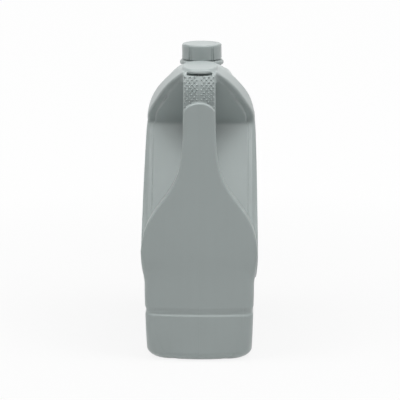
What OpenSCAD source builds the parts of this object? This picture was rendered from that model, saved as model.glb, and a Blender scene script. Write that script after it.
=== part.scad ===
// Gear oil jug: a blow-moulded grey jug with a bell-shaped handle, a screw cap, its liner and a tamper ring.
// Millimetres, Z up, X across the mould halves, handle towards -Y, origin at the middle of the base.

/* [Overall] */
// Width across the two label panels
jug_width = 120.6; // [100:0.2:150]
// Depth from the handle side to the pouring side
jug_depth = 188; // [160:1:230]
// Height of the ridge above the handle
ridge_top = 303; // [270:1:360]
// Thickness of the moulded wall
wall = 1.4; // [1:0.1:3]

/* [Base] */
// Radius of the edge around the base
base_radius = 10; // [6:0.5:20]
// How far the base narrows on each side below the first groove
base_taper = 2; // [0:0.1:4]
// Radius of the upright corners at the base
foot_corner = 26; // [16:1:40]
// Depth of the hollow under the base
push_up = 4; // [0:0.5:8]
// Height of the groove that runs round the jug
groove_z = 53; // [40:1:70]
// Height of the groove's mouth
groove_mouth = 8; // [4:0.5:14]
// Depth of the groove
groove_depth = 2.2; // [0.5:0.1:4]

/* [Body] */
// Radius of the upright corners
corner = 10; // [5:0.5:16]
// Radius of the edge along the finger opening
rim = 5; // [3:0.5:8]
// How far the edge lies behind the opening's raised wall
rim_step = 2.5; // [0.5:0.1:4]
// Width of the eave under the shoulder, beside the raised wall
eave = 6; // [2:0.1:8]
// How much narrower the shoulder is at the eave
eave_taper = 4.5; // [0:0.1:8]
// How far the front and back bulge at the middle
crown = 3; // [0:0.2:6]
// How far the handle side leans in by the top of the block
front_lean = 2; // [0:0.2:5]

/* [Shoulder] */
// Height where the shoulder begins to curve in
shoulder_z = 240; // [210:1:270]
// Height of the flat round the neck, below the ridge
neck_drop = 12; // [8:0.5:20]
// How much sooner the shoulder curves in on the far side
shoulder_fall = 10; // [0:1:25]
// Half the width of the ridge's flat top
ridge_half = 17.5; // [12:0.5:24]

/* [Finger opening] */
// Height of its deepest crease below the start of the shoulder
crease_drop = 5; // [0:0.5:12]
// Distance of its deepest crease from the middle, towards the handle
crease_y = 12; // [0:1:30]
// Depth gained for each millimetre of height below the crease
lower_slope = 0.64; // [0.4:0.01:0.8]
// Depth gained for each millimetre of height above the crease
upper_slope = 1.03; // [0.8:0.01:1.2]
// Softness of the crease
crease_soft = 4; // [1:0.5:8]

/* [Handle] */
// Width of the handle at the grip
grip_width = 32.4; // [26:0.2:40]
// Distance from the handle's face at the grip to the deepest face of the jug
grip_set_back = 9; // [5:0.5:16]
// Thickness of the handle
handle_thick = 20; // [16:0.5:28]
// Height at which the handle's flare is half open
flare_z = 167; // [150:1:190]
// Softness of the flare
flare_soft = 15.2; // [8:0.2:22]
// Radius over which the handle's face turns back under the ridge
brow_radius = 48.7; // [40:0.1:70]

/* [Grip] */
// Height of the top of the plain tongue
tongue_top = 271; // [250:1:280]
// Rise of the arch on the tongue
tongue_arch = 14; // [6:0.5:20]
// Depth of the grip below the tongue
grip_depth = 3; // [1:0.1:4]
// Height of the lip over the grip
lip_height = 4.5; // [3:0.1:8]

/* [Label panel] */
// Height of the panel's lower edge
panel_low = 75; // [66:1:100]
// Radius of the panel's lower corners
panel_corner = 45; // [20:1:60]
// How far the panel stands out at its lower end
panel_rise = 3.8; // [1:0.1:6]

/* [Neck] */
// Distance of the neck from the middle, away from the handle
neck_y = 28; // [15:1:40]
// Radius of the neck's bore at its foot
bore_radius = 15; // [12:0.1:16]
// Thickness of the neck's wall
neck_wall = 2.4; // [1.6:0.1:3]
// How far the ring's stop stands out from the neck
stop_rise = 1.4; // [0.8:0.1:1.5]

/* [Cap] */
// Radius of the cap's plain skirt
cap_radius = 20.9; // [20:0.1:26]
// Height of the cap
cap_height = 16; // [14:0.5:19]
// Thickness of the cap
cap_wall = 1.6; // [1.2:0.1:1.8]
// Room for the thread between the neck and the cap's skirt
thread_room = 1.9; // [1.6:0.1:2.6]
// Thickness of the liner in the cap
liner_thick = 0.9; // [0.6:0.1:1.5]
// Number of rib pairs on the skirt
rib_pairs = 5; // [3:1:9]
// Distance between the two ribs of a pair, round the skirt in degrees
rib_spread = 5.6; // [4:0.2:10]
// How far a rib stands out
rib_rise = 0.5; // [0.2:0.1:0.8]

/* [Tamper ring] */
// Radius of the tamper ring
ring_radius = 23.2; // [22.6:0.1:26]
// Thickness of the tamper ring
ring_wall = 5.1; // [3:0.1:6]
// Width of the step on the neck that the ring sits on
ring_seat = 3; // [2:0.1:5]
// Height of the tamper ring
ring_height = 5; // [4:0.1:5.6]
// Gap between the ring and the cap's skirt
ring_gap = 0.8; // [0.5:0.1:1.5]
// Gap between the ring and the neck
ring_clear = 0.7; // [0.4:0.1:0.9]

/* [Hidden] */
grey = [0.56, 0.59, 0.59];
pale = [0.86, 0.87, 0.86];
half_depth = jug_depth / 2;
core_half = jug_width / 2 - panel_rise;
roof_rise = ridge_top + 6 - shoulder_z;
crease_z = shoulder_z - crease_drop;
platform_z = ridge_top - neck_drop;
block_top = crease_z - crease_soft - (half_depth - front_lean - crease_y) / lower_slope;
grip_half = grip_width / 2;
grip_y = -half_depth + grip_set_back;
flare_wide = jug_width / 2 + 1.1 - grip_half;
ring_low = platform_z + 2;
ring_top = ring_low + ring_height;
skirt_low = ring_top + ring_gap;
cap_top = skirt_low + cap_height;
neck_top = cap_top - cap_wall - liner_thick;
neck_radius = cap_radius - cap_wall - thread_room;
mouth_radius = neck_radius - neck_wall;
ring_bore = ring_radius - ring_wall;
collar_radius = ring_bore - ring_clear;
foot_radius = collar_radius + ring_seat;

// Points along an arc
function arc(x, y, r, a0, a1, n) = [
  for (i = [0 : n]) let (a = a0 + (a1 - a0) * i / n) [x + r * cos(a), y + r * sin(a)]
];

// Points on the way between two others
function between(p, q, n) = [for (i = [1 : n - 1]) p + (q - p) * i / n];

// A bulging edge between two corners, from x0 to x1, with the middle at y
function bulge(x0, x1, y, sag, n) = [
  for (i = [1 : n - 1]) let (x = x0 + (x1 - x0) * i / n, s = 2 * i / n - 1) [x, y + sag * s * s]
];

// A plan outline. The near corners are [radius, step back, flat before the round, taper behind it],
// and the far ones [radius, half width, bulge between them].
function plan(half, y0, y1, near, far, sag, n) = let (
    a = min(near[0], half - near[2] - near[3] - 1),
    b = min(far[0], far[1] - 0.5),
    end = y1 - far[2] * min(1, (far[1] - b) / 20),
    x = half - near[3],
    y = y0 + sag + near[1] + a,
    edge = x - a - near[2],
    corner = concat(
      [[edge, y0 + sag], [edge + min(0.7, near[2]), y0 + sag + near[1]]],
      arc(x - a, y, a, -80, 0, n), [[half, y + 1 + 6 * near[3]]],
      between([half, y + 1 + 6 * near[3]], [far[1], end - b], 3)
    ),
    left = [for (i = [len(corner) - 1 : -1 : 0]) [-corner[i][0], corner[i][1]]]
  ) concat(
    corner, arc(far[1] - b, end - b, b, 0, 90, n),
    bulge(far[1] - b, b - far[1], y1, end - y1, 4),
    arc(b - far[1], end - b, b, 90, 180, n), left,
    bulge(-edge, edge, y0, sag, 4)
  );

function at_z(ring, z) = [for (p = ring) [p[0], p[1], z]];

// A closed skin over rings that all have the same number of points
module skin(rings) {
  n = len(rings[0]);
  last = len(rings) - 1;
  polyhedron(
    points = [for (r = rings) for (p = r) p],
    faces = concat(
      [[for (i = [0 : n - 1]) i]],
      [for (k = [0 : last - 1]) for (i = [0 : n - 1]) let (j = (i + 1) % n)
        each [[k * n + i, (k + 1) * n + i, (k + 1) * n + j], [k * n + i, (k + 1) * n + j, k * n + j]]],
      [[for (i = [n - 1 : -1 : 0]) last * n + i]]
    )
  );
}

// Half width of the body without its panels
function body_half(z) = z > shoulder_z
  ? core_half * pow(1 - pow((z - shoulder_z) / roof_rise, 1.9), 0.743)
  : core_half - base_taper * max(0, 1 - z / 68);

// Handle side of the block, which leans in towards its top
function block_front(z) =
  -half_depth + front_lean * max(0, z - base_radius) / (block_top - base_radius);

// Handle side of the body: the block below, then the two walls of the finger opening
function body_front(z) = let (
    slope = z < crease_z ? lower_slope : upper_slope,
    open = -crease_y - slope * (sqrt(pow(z - crease_z, 2) + pow(crease_soft, 2)) - crease_soft)
  ) z < block_top ? block_front(z) : max(open, block_front(z));

// Far side of the body, which curves in to the neck, and its half width there
function body_back(z) = let (low = shoulder_z - 12, end = neck_y + neck_radius + 8, s = (z - low) / (platform_z - low))
  z < low ? half_depth : end + (half_depth - end) * pow(max(0, 1 - pow(s, 1.7)), 0.7);
function back_half(z) = max(neck_radius + 10, body_half(min(z + shoulder_fall, ridge_top)));

// From 0 to 1 as a height passes from one level to another
function ease(z, low, high) = let (s = min(1, max(0, (z - low) / (high - low)))) s * s * (3 - 2 * s);

function foot(z) = corner + (foot_corner - corner) * pow(max(0, 1 - z / 36), 2);

// The near corners, which become the rim of the finger opening and then the eave under the shoulder
function front_corner(z, margin) = let (
    open = ease(z, block_top, block_top + 30),
    high = ease(z, crease_z - 2, crease_z + 4),
    roof = ease(z, crease_z + 4, crease_z + 34)
  ) [
    max(1, foot(z) + (rim - corner) * open - rim * 0.4 * high - margin),
    rim_step * (open + 0.5 * high) * (1 - 0.8 * ease(z, crease_z + 10, platform_z - 8)),
    0.2 + (1.5 + margin) * open + (eave - 1.7) * high,
    eave_taper * roof
  ];

function back_corner(z) = z > shoulder_z - 25
  ? corner + (back_half(z) * 0.9 - corner) * ease(z, shoulder_z - 25, shoulder_z + 25)
  : foot(z);

// One level of the body, drawn in by a margin
function body_ring(z, margin, n) = plan(body_half(z) - margin, body_front(z) + margin, body_back(z) - margin,
  front_corner(z, margin), [max(back_corner(z) - margin, 2), back_half(z) - margin, crown], crown, n);

// One level of the ridge over the handle, which carries the shoulders' arch on above the flat at the neck
function ridge_ring(z, s, inset, n) = let (half = body_half(z) - inset, near = front_corner(z, inset))
  plan(half, body_front(z) + inset, 8 - crease_y - 10 * s - inset,
    [near[0], near[1] * (1 - s), near[2] * (1 - s), near[3] * (1 - s)], [half * 0.9, half, 0], crown * (1 - s), n);

// The body from the hollow under the base to the top of the ridge
module body(inset, n) {
  foot = [for (a = [0 : 90 / n : 89]) let (z = base_radius * (1 - cos(a)))
    at_z(body_ring(z, inset + base_radius * (1 - sin(a)), n), max(z, inset))];
  under = [for (s = [[14, 1], [6, 0.6], [3, 0]])
    at_z(body_ring(0, inset + base_radius + s[0], n), push_up * s[1] + inset)];
  sides = concat(
    [for (z = [base_radius, groove_z - groove_mouth / 2]) [z, 0]],
    [for (s = [-0.5, 0.5]) [groove_z + s * (groove_mouth - groove_depth), groove_depth]],
    [[groove_z + groove_mouth / 2, 0], [panel_low - 6, 0]],
    [for (s = [0 : 1 / n : 1]) [block_top + s * (crease_z - 12 - block_top), 0]],
    [for (s = [-6, -3, 0, 3, 6]) [crease_z + s, 0]]
  );
  roof = [for (s = [1 / (n + 1) : 1 / (n + 1) : 1.001])
    shoulder_z + (platform_z - inset - shoulder_z) * sin(90 * s)];
  skin(concat(
    under, foot,
    [for (s = sides) at_z(body_ring(s[0], inset + s[1], n), s[0])],
    [for (z = roof) at_z(body_ring(z, inset, n), z)],
    [for (i = [0 : n - 1]) let (s = i / (n - 1), z = platform_z - inset + 0.25 + (neck_drop - 3) * s)
      at_z(ridge_ring(z, s, inset, n), z)]
  ));
}

// Half width of the handle, which flares like a bell and then runs down into the block's corners
function bell_half(z) = let (
    flare = function (h) grip_half + flare_wide / (1 + exp((h - flare_z) / flare_soft)),
    wide = flare(block_top + 10)
  ) z > block_top + 10 ? flare(z)
    : wide - (wide - core_half + 0.6) * (1 - ease(z, panel_low - 6, block_top + 10));

// Face of the handle: nearly upright up to the tongue's top, then turning back under the ridge
function bell_face(z) = z < block_top ? block_front(z) + 0.1 * (block_top - z)
  : z < tongue_top
  ? grip_y - (half_depth - front_lean + grip_y) * pow((tongue_top - z) / (tongue_top - block_top), 1.5)
  : grip_y + brow_radius - sqrt(pow(brow_radius, 2) - pow(z - tongue_top, 2));

// The handle from inside the block up to the ridge, with its face set back by a step at the grip
module bell(inset, n, step, spare) {
  low = panel_low - 6;
  high = ridge_top - lip_height - 0.5 - inset;
  skin([for (s = [0 : 1 / (4 * n) : 1.0001]) let (
      z = low + (high - low) * s,
      half = bell_half(z) - inset * 1.3 + spare,
      y0 = bell_face(z) + inset + step * ease(z, tongue_top - 60, tongue_top - 25),
      y1 = grip_y + handle_thick - inset * 1.3 + 10 * pow(ease(z, ridge_top - 45, ridge_top), 2),
      r = min(corner, half / 3)
    ) at_z(plan(half, y0, y1, [r, 0, 0.2, 0], [min(5, r), half, 0], crown * pow(half / core_half, 2), n), z)]);
}

// The rounded pad on the ridge, with its lip over the handle
module pad(inset) {
  ball = 11 - inset;
  hull()
    for (x = [-1, 1], y = [grip_y + 9.5 + 11, -crease_y - 13])
      translate([x * (ridge_half - 11), y, ridge_top - 5.5])
        scale([1, 1, (5.5 - inset) / ball])
          sphere(ball, $fn = 16);
}

// One raised panel for a label, thickest at its lower end, with rounded lower corners and edges
module panel(inset, n) {
  top = shoulder_z - 3 - inset;
  low = panel_low + inset;
  r = panel_corner - inset;
  rise = function (z) panel_rise * sqrt(min(1, (top - z) / (top - block_top - 8)));
  turn = function (z) z < low + r ? r - sqrt(r * r - pow(low + r - z, 2)) : 0;
  level = function (z, s) let (
      y0 = inset + max(body_front(min(z, crease_z)) + rim_step + rim + 2, corner + 4 - half_depth + turn(z)),
      y1 = body_back(z) - back_corner(z) - 6 - inset - turn(z),
      base = core_half - inset - 0.5,
      edge = rise(z) * s
    ) at_z([
      [base - 6, y0], [base, y0], [base + edge * 0.6, y0 + 0.6], [base + edge, y0 + 1.8],
      [base + edge, y1 - 1.8], [base + edge * 0.6, y1 - 0.6], [base, y1], [base - 6, y1]
    ], z);
  levels = concat(
    [for (s = [0, 0.6, 1.8]) [low + s, s > 0.6 ? 1 : s]],
    [for (i = [1 : n]) [low + 1.8 + (r - 1.8) * (1 - cos(90 * i / n)), 1]],
    [for (i = [1 : n]) [low + r + (top - low - r) * sin(90 * i / n), 1]]
  );
  for (side = [0, 1])
    mirror([side, 0, 0])
      skin([for (s = levels) level(s[0], s[1])]);
}

// The moulded form with every face drawn in by the inset
module form(inset, n) {
  body(inset, n);
  bell(inset, n, inset > 0 ? grip_depth : 0, 0);
  pad(inset);
  panel(inset, n);
}

// What the grip takes off the handle's face, above the tongue's arch and below the lip
module grip_cut() {
  difference() {
    translate([0, grip_y + handle_thick / 2, 0])
      rotate([90, 0, 0])
        linear_extrude(height = handle_thick)
          difference() {
            translate([-ridge_half * 2, tongue_top - tongue_arch * 2])
              square([ridge_half * 4, ridge_top - lip_height - tongue_top + tongue_arch * 2]);
            translate([0, tongue_top - tongue_arch])
              scale([grip_half * 1.06, tongue_arch])
                circle(r = 1, $fn = 44);
            translate([-ridge_half * 2, tongue_top - tongue_arch * 2 - 1])
              square([ridge_half * 4, tongue_arch + 1]);
          }
    bell(0, 6, grip_depth, 8);
  }
}

module neck_profile() {
  polygon([
    [bore_radius, platform_z - wall / 2], [foot_radius, platform_z - wall / 2], [foot_radius, ring_low],
    [collar_radius, ring_low], [collar_radius, ring_top], [neck_radius, skirt_low],
    [neck_radius, skirt_low + 0.6], [neck_radius + stop_rise, skirt_low + 0.6],
    [neck_radius + stop_rise, skirt_low + 1.2], [neck_radius, skirt_low + 2.6], [neck_radius, neck_top - 0.6],
    [neck_radius - 0.6, neck_top], [mouth_radius, neck_top], [mouth_radius, skirt_low],
    [collar_radius - neck_wall, ring_top], [collar_radius - neck_wall, ring_low]
  ]);
}

module jug_body() {
  color(grey)
    union() {
      resize([jug_width, jug_depth, ridge_top])
        difference() {
          form(0, 6);
          form(wall, 4);
          grip_cut();
          translate([0, neck_y, platform_z - 8])
            cylinder(h = 16, r = bore_radius + neck_wall / 2, $fn = 36);
        }
      translate([0, neck_y, 0])
        rotate_extrude($fn = 96)
          neck_profile();
    }
}

module cap() {
  color(grey)
    translate([0, neck_y, 0]) {
      rotate_extrude($fn = 96)
        difference() {
          union() {
            translate([0, skirt_low])
              square([cap_radius, cap_height - 2]);
            translate([0, cap_top - 2])
              square([cap_radius - 2, 2]);
            translate([cap_radius - 2, cap_top - 2])
              circle(r = 2, $fn = 32);
          }
          translate([-cap_radius, skirt_low - 1])
            square([cap_radius * 2 - cap_wall, cap_height + 1 - cap_wall]);
          translate([-cap_radius, skirt_low - 1])
            square([cap_radius, cap_height + 2]);
        }
      for (i = [0 : rib_pairs - 1], s = [-0.5, 0.5])
        rotate((i + 0.5) * 360 / rib_pairs - 90 + s * rib_spread - 1.2)
          rotate_extrude(angle = 2.4, $fn = 96)
            polygon([
              [cap_radius - 0.8, skirt_low], [cap_radius + rib_rise, skirt_low],
              [cap_radius + rib_rise, cap_top - 3], [cap_radius - 0.8, cap_top - 1.8]
            ]);
    }
}

module cap_liner() {
  color(pale)
    translate([0, neck_y, neck_top])
      cylinder(h = liner_thick, r = cap_radius - cap_wall - 0.4, $fn = 96);
}

module tamper_ring() {
  color(grey)
    translate([0, neck_y, ring_low])
      rotate_extrude($fn = 96)
        polygon([
          [ring_bore, 0], [ring_radius - 0.8, 0], [ring_radius, 0.8], [ring_radius, ring_height - 1],
          [ring_radius - 1, ring_height], [ring_bore, ring_height]
        ]);
}

jug_body();
cap();
cap_liner();
tamper_ring();
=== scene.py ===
"""Gear oil jug: a blow-moulded jug, its screw cap and tamper ring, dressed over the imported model."""

import math

import bpy
import numpy as np
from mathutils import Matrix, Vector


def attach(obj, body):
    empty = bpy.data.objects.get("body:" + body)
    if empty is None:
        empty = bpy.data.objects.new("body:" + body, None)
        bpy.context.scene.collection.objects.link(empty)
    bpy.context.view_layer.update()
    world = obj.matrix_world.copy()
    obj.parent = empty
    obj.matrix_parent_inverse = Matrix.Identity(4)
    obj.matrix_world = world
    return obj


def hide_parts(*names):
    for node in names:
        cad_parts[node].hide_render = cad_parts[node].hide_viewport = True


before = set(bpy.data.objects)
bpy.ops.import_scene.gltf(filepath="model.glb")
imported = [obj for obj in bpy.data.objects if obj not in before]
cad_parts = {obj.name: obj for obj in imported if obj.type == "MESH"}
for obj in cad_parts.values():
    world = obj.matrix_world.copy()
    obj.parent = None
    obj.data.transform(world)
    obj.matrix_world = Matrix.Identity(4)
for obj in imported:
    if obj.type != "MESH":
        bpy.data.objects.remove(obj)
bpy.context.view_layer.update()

bl_info = {
    "name": "Gear oil jug",
    "version": (1, 0, 0),
    "blender": (4, 5, 0),
    "location": "View3D > Sidebar > Oil jug",
    "description": "Builds a blow-moulded oil jug with its cap, tamper ring and studio",
    "category": "Add Mesh",
}

MM = 0.001
TINY = 1e-6

# Grid lines of the shell and its hollow, as runs of (from, to, spacing), finest at edges, grip and groove
SHELL_X = ((0, 20, 1.25), (20, 40, 2.2), (40, 62.5, 1.25))
SHELL_Y = ((-97, -56, 1.3), (-56, 66, 3.0), (66, 97, 2.0))
SHELL_Z = ((-2, 14, 1.6), (14, 46, 3.2), (46, 60, 0.9), (60, 84, 2.0), (84, 128, 2.2), (128, 226, 2.4),
           (226, 306, 1.2))
HOLLOW_RUNS = ((-64, 64, 4), (-98, 98, 4), (-4, 308, 4))

# Meshing in millimetres: half a probe's length, and the longest moves in settling and in sharpening
PROBE, LONGEST_SETTLE, LONGEST_SHARPEN = 0.05, 1.5, 1.2
# Pull towards the middle of a point's faces, and how well a sound face agrees with the field
PULL, AGREED = 0.12, 0.3

# Pips start in front of the grip, and a ray to it starts before its pip, so that it also works from the face
PIP_START_Y, RAY_START = -0.12, (0.0, -0.01, 0.0)
# How far a rib leans in, in metres, and a bridge's size in millimetres
RIB_LEAN, BRIDGE_SIZE = 0.0004, (1.0, 1.5, 0.7)

# Patterns in the finishes, by the metre, and the half width of the parting line from full to none
CLOUD_SCALE, GRAIN_SCALE, CELL_SCALE, FLOW_SCALES = 22.0, 1300.0, 1600.0, (150.0, 150.0, 9.0)
SEAM_RUN, PLASTIC_IOR = (0.0002, 0.0006), 1.53

# Studio: the paper's glow by its distance in metres, the floor in millimetres and the world's fill
WHITE, PAPER_WHITE = (1.0, 1.0, 1.0, 1.0), (0.8, 0.8, 0.8, 1.0)
PAPER_RUN, PAPER_GLOW, FLOOR_HALF, WORLD_FILL = (0.1, 0.7), (0.86, 0.985), 4000, 0.02
# Soft boxes: name, place and size in metres, power in watts
SOFT_BOXES = (
    ("top_box", (0, 0.1, 1.7), (1.2, 1.2), 6),
    ("front_box", (0, -1.5, 1.6), (1.2, 0.8), 8),
    ("left_box", (-0.75, -0.3, 1.35), (0.6, 0.9), 9.0),
    ("right_box", (0.75, -0.3, 1.35), (0.6, 0.9), 10.4),
)
LAMP_AIM = (0, 0, 0.16)
CAMERA_PLACE, CAMERA_AIM = (0.0403, -1.6995, 0.548), (-0.0012, 0, 0.15)
CAMERA_LENS, CAMERA_SENSOR = 146.97, 36


def length(name, millimetres, description):
    """A size in the panel, given here in millimetres."""
    return bpy.props.FloatProperty(name=name, description=description, default=millimetres * MM,
                                   min=0.0, unit="LENGTH", precision=4)


def share(name, value, description):
    """A plain number from 0 to 2 in the panel."""
    return bpy.props.FloatProperty(name=name, description=description, default=value, min=0.0, max=2.0,
                                   subtype="FACTOR")


def count(name, value, description):
    """A whole number in the panel."""
    return bpy.props.IntProperty(name=name, description=description, default=value, min=1)


def tint(name, value, description):
    """A colour in the panel."""
    return bpy.props.FloatVectorProperty(name=name, description=description, default=value, size=4,
                                         min=0.0, max=1.0, subtype="COLOR")


class JugSizes(bpy.types.PropertyGroup):
    """Sizes of the moulded jug"""
    width: length("Width", 120.6, "Across the two label panels")
    depth: length("Depth", 188, "From the handle side to the pouring side")
    ridge_top: length("Ridge top", 303, "Height of the ridge above the handle")
    wall: length("Wall", 1.4, "Thickness of the moulded wall")
    base_radius: length("Base edge", 10, "Radius of the edge around the base")
    base_taper: length("Base taper", 2, "How far each side narrows below the groove")
    foot_corner: length("Foot corner", 26, "Radius of the upright corners at the base")
    push_up: length("Push-up", 4, "Depth of the hollow under the base")
    groove_z: length("Groove height", 53, "Height of the groove round the jug")
    groove_depth: length("Groove depth", 1.2, "Depth of the groove round the jug")
    corner: length("Corner", 10, "Radius of the upright corners")
    rim: length("Rim", 5, "Radius of the edge along the finger opening")
    rim_step: length("Rim step", 2.5, "How far the rim lies behind the opening's raised wall")
    eave: length("Eave", 6, "Width of the eave under the shoulder")
    eave_taper: length("Eave taper", 4.5, "How much narrower the shoulder is at the eave")
    crown: length("Crown", 3, "Bulge at the middle of the front and back")
    front_lean: length("Front lean", 2, "How far the handle side leans in by the top of the block")
    shoulder_z: length("Shoulder height", 240, "Where the shoulder begins to curve in")
    neck_drop: length("Neck drop", 12, "From the ridge down to the flat round the neck")
    shoulder_fall: length("Shoulder fall", 10, "How much sooner the far shoulder curves in")
    ridge_half: length("Ridge half width", 17.5, "Half the width of the pad on the ridge")
    crease_drop: length("Crease drop", 5, "From the start of the shoulder down to the opening's crease")
    crease_y: length("Crease distance", 12, "From the middle to the crease, towards the handle")
    lower_slope: share("Lower slope", 0.64, "Depth gained for each unit of height below the crease")
    upper_slope: share("Upper slope", 1.03, "Depth gained for each unit of height above the crease")
    crease_soft: length("Crease softness", 4, "Softness of the crease")
    grip_width: length("Grip width", 32.4, "Width of the handle at the grip")
    grip_set_back: length("Grip set-back", 9, "From the deepest face of the jug back to the grip")
    handle_thick: length("Handle thickness", 20, "Thickness of the handle")
    flare_z: length("Flare height", 167, "Where the handle's flare is half open")
    handle_edge: length("Handle edge", 1.9, "Radius of the handle's edges")
    flare_soft: length("Flare softness", 15.2, "Softness of the handle's flare")
    brow_radius: length("Brow radius", 48.7, "Radius over which the handle turns back under the ridge")
    tongue_top: length("Tongue top", 271, "Height of the top of the plain tongue")
    tongue_arch: length("Tongue arch", 14, "Rise of the arch on the tongue")
    grip_depth: length("Grip depth", 3, "Depth of the grip below the tongue")
    lip_height: length("Lip height", 5.4, "Height of the lip over the grip")
    panel_low: length("Panel foot", 75, "Height of the label panel's lower edge")
    panel_corner: length("Panel corner", 45, "Radius of the panel's lower corners")
    panel_rise: length("Panel rise", 3.8, "How far the panel stands out at its lower end")
    pip_pitch: length("Pip pitch", 4.8, "Distance between the pips of a row on the grip")
    pip_radius: length("Pip radius", 1.1, "Radius of a pip on the grip")
    pip_stretch: share("Pip stretch", 1.6, "How much taller a pip is than half a ball")
    pip_strip: length("Pip strip", 2.1, "Half the plain strip down the middle of the grip")


class ClosureSizes(bpy.types.PropertyGroup):
    """Sizes of the neck, the cap and the tamper ring"""
    neck_y: length("Neck distance", 28, "From the middle to the neck, away from the handle")
    bore_radius: length("Bore radius", 15, "Radius of the neck's bore")
    neck_radius: length("Neck radius", 17.4, "Outer radius of the neck")
    stop_rise: length("Stop rise", 1.4, "How far the ring's stop stands out from the neck")
    thread_lead: length("Thread lead", 4.2, "Rise of the thread for one turn")
    thread_start: length("Thread start", 3.4, "From the skirt's foot up to the start of the neck's thread")
    cap_radius: length("Cap radius", 20.9, "Radius of the cap's plain skirt")
    cap_height: length("Cap height", 16, "Height of the cap")
    cap_wall: length("Cap wall", 1.6, "Thickness of the cap")
    liner_thick: length("Liner", 0.9, "Thickness of the liner in the cap")
    rib_rise: length("Rib rise", 1.05, "How far a rib stands out from the skirt")
    rib_round: length("Rib round", 0.8, "Radius of a rib")
    rib_pairs: count("Rib pairs", 5, "Pairs of ribs on the skirt")
    rib_spread: bpy.props.FloatProperty(name="Rib spread", description="Angle between the ribs of a pair",
                                        default=math.radians(5.6), min=0.0, subtype="ANGLE")
    ring_radius: length("Ring radius", 23.2, "Radius of the tamper ring")
    ring_height: length("Ring height", 5, "Height of the tamper ring")
    ring_gap: length("Ring gap", 0.8, "Gap between the ring and the skirt")
    ring_clear: length("Ring clearance", 0.7, "Gap between the ring and the neck")
    seat_rise: length("Seat rise", 2, "From the flat round the neck up to the ring")
    bridges: count("Bridges", 26, "Torn bridges on top of the ring")


class JugColours(bpy.types.PropertyGroup):
    """Colours and gloss of the plastics and the studio"""
    jug_grey: tint("Jug grey", (0.372, 0.420, 0.414, 1.0), "Grey of the moulded jug")
    cap_grey: tint("Cap grey", (0.362, 0.405, 0.400, 1.0), "Grey of the cap and ring")
    liner_white: tint("Liner", (0.78, 0.79, 0.77, 1.0), "Colour of the foamed liner")
    jug_roughness: share("Jug roughness", 0.3, "Roughness of the moulded jug")
    cap_roughness: share("Cap roughness", 0.3, "Roughness of the cap and ring")


def millimetres(group):
    """The sizes of a property group by name, lengths in millimetres."""
    found = {}
    for name in type(group).__annotations__:
        is_length = group.bl_rna.properties[name].unit == "LENGTH"
        found[name] = getattr(group, name) * (1000 if is_length else 1)
    return found


def ease(value, low, high):
    """From 0 to 1 as a value passes from one level to another."""
    part = np.clip((value - low) / (high - low), 0, 1)
    return part * part * (3 - 2 * part)


def about(value, level, run):
    """From 0 to 1 as a value passes through a run that is measured from a level."""
    return ease(value, level + run[0], level + run[1])


def cut(a, b, radius):
    """What lies in both fields, with the edge between them rounded."""
    rounded = np.hypot(np.maximum(a + radius, 0), np.maximum(b + radius, 0))
    return np.minimum(np.maximum(a, b), -radius) + rounded


def join(a, b, fillet):
    """What lies in either field, with a fillet between them."""
    near = np.maximum(fillet - np.abs(a - b), 0) / fillet
    return np.minimum(a, b) - near * near * fillet / 4


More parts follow.
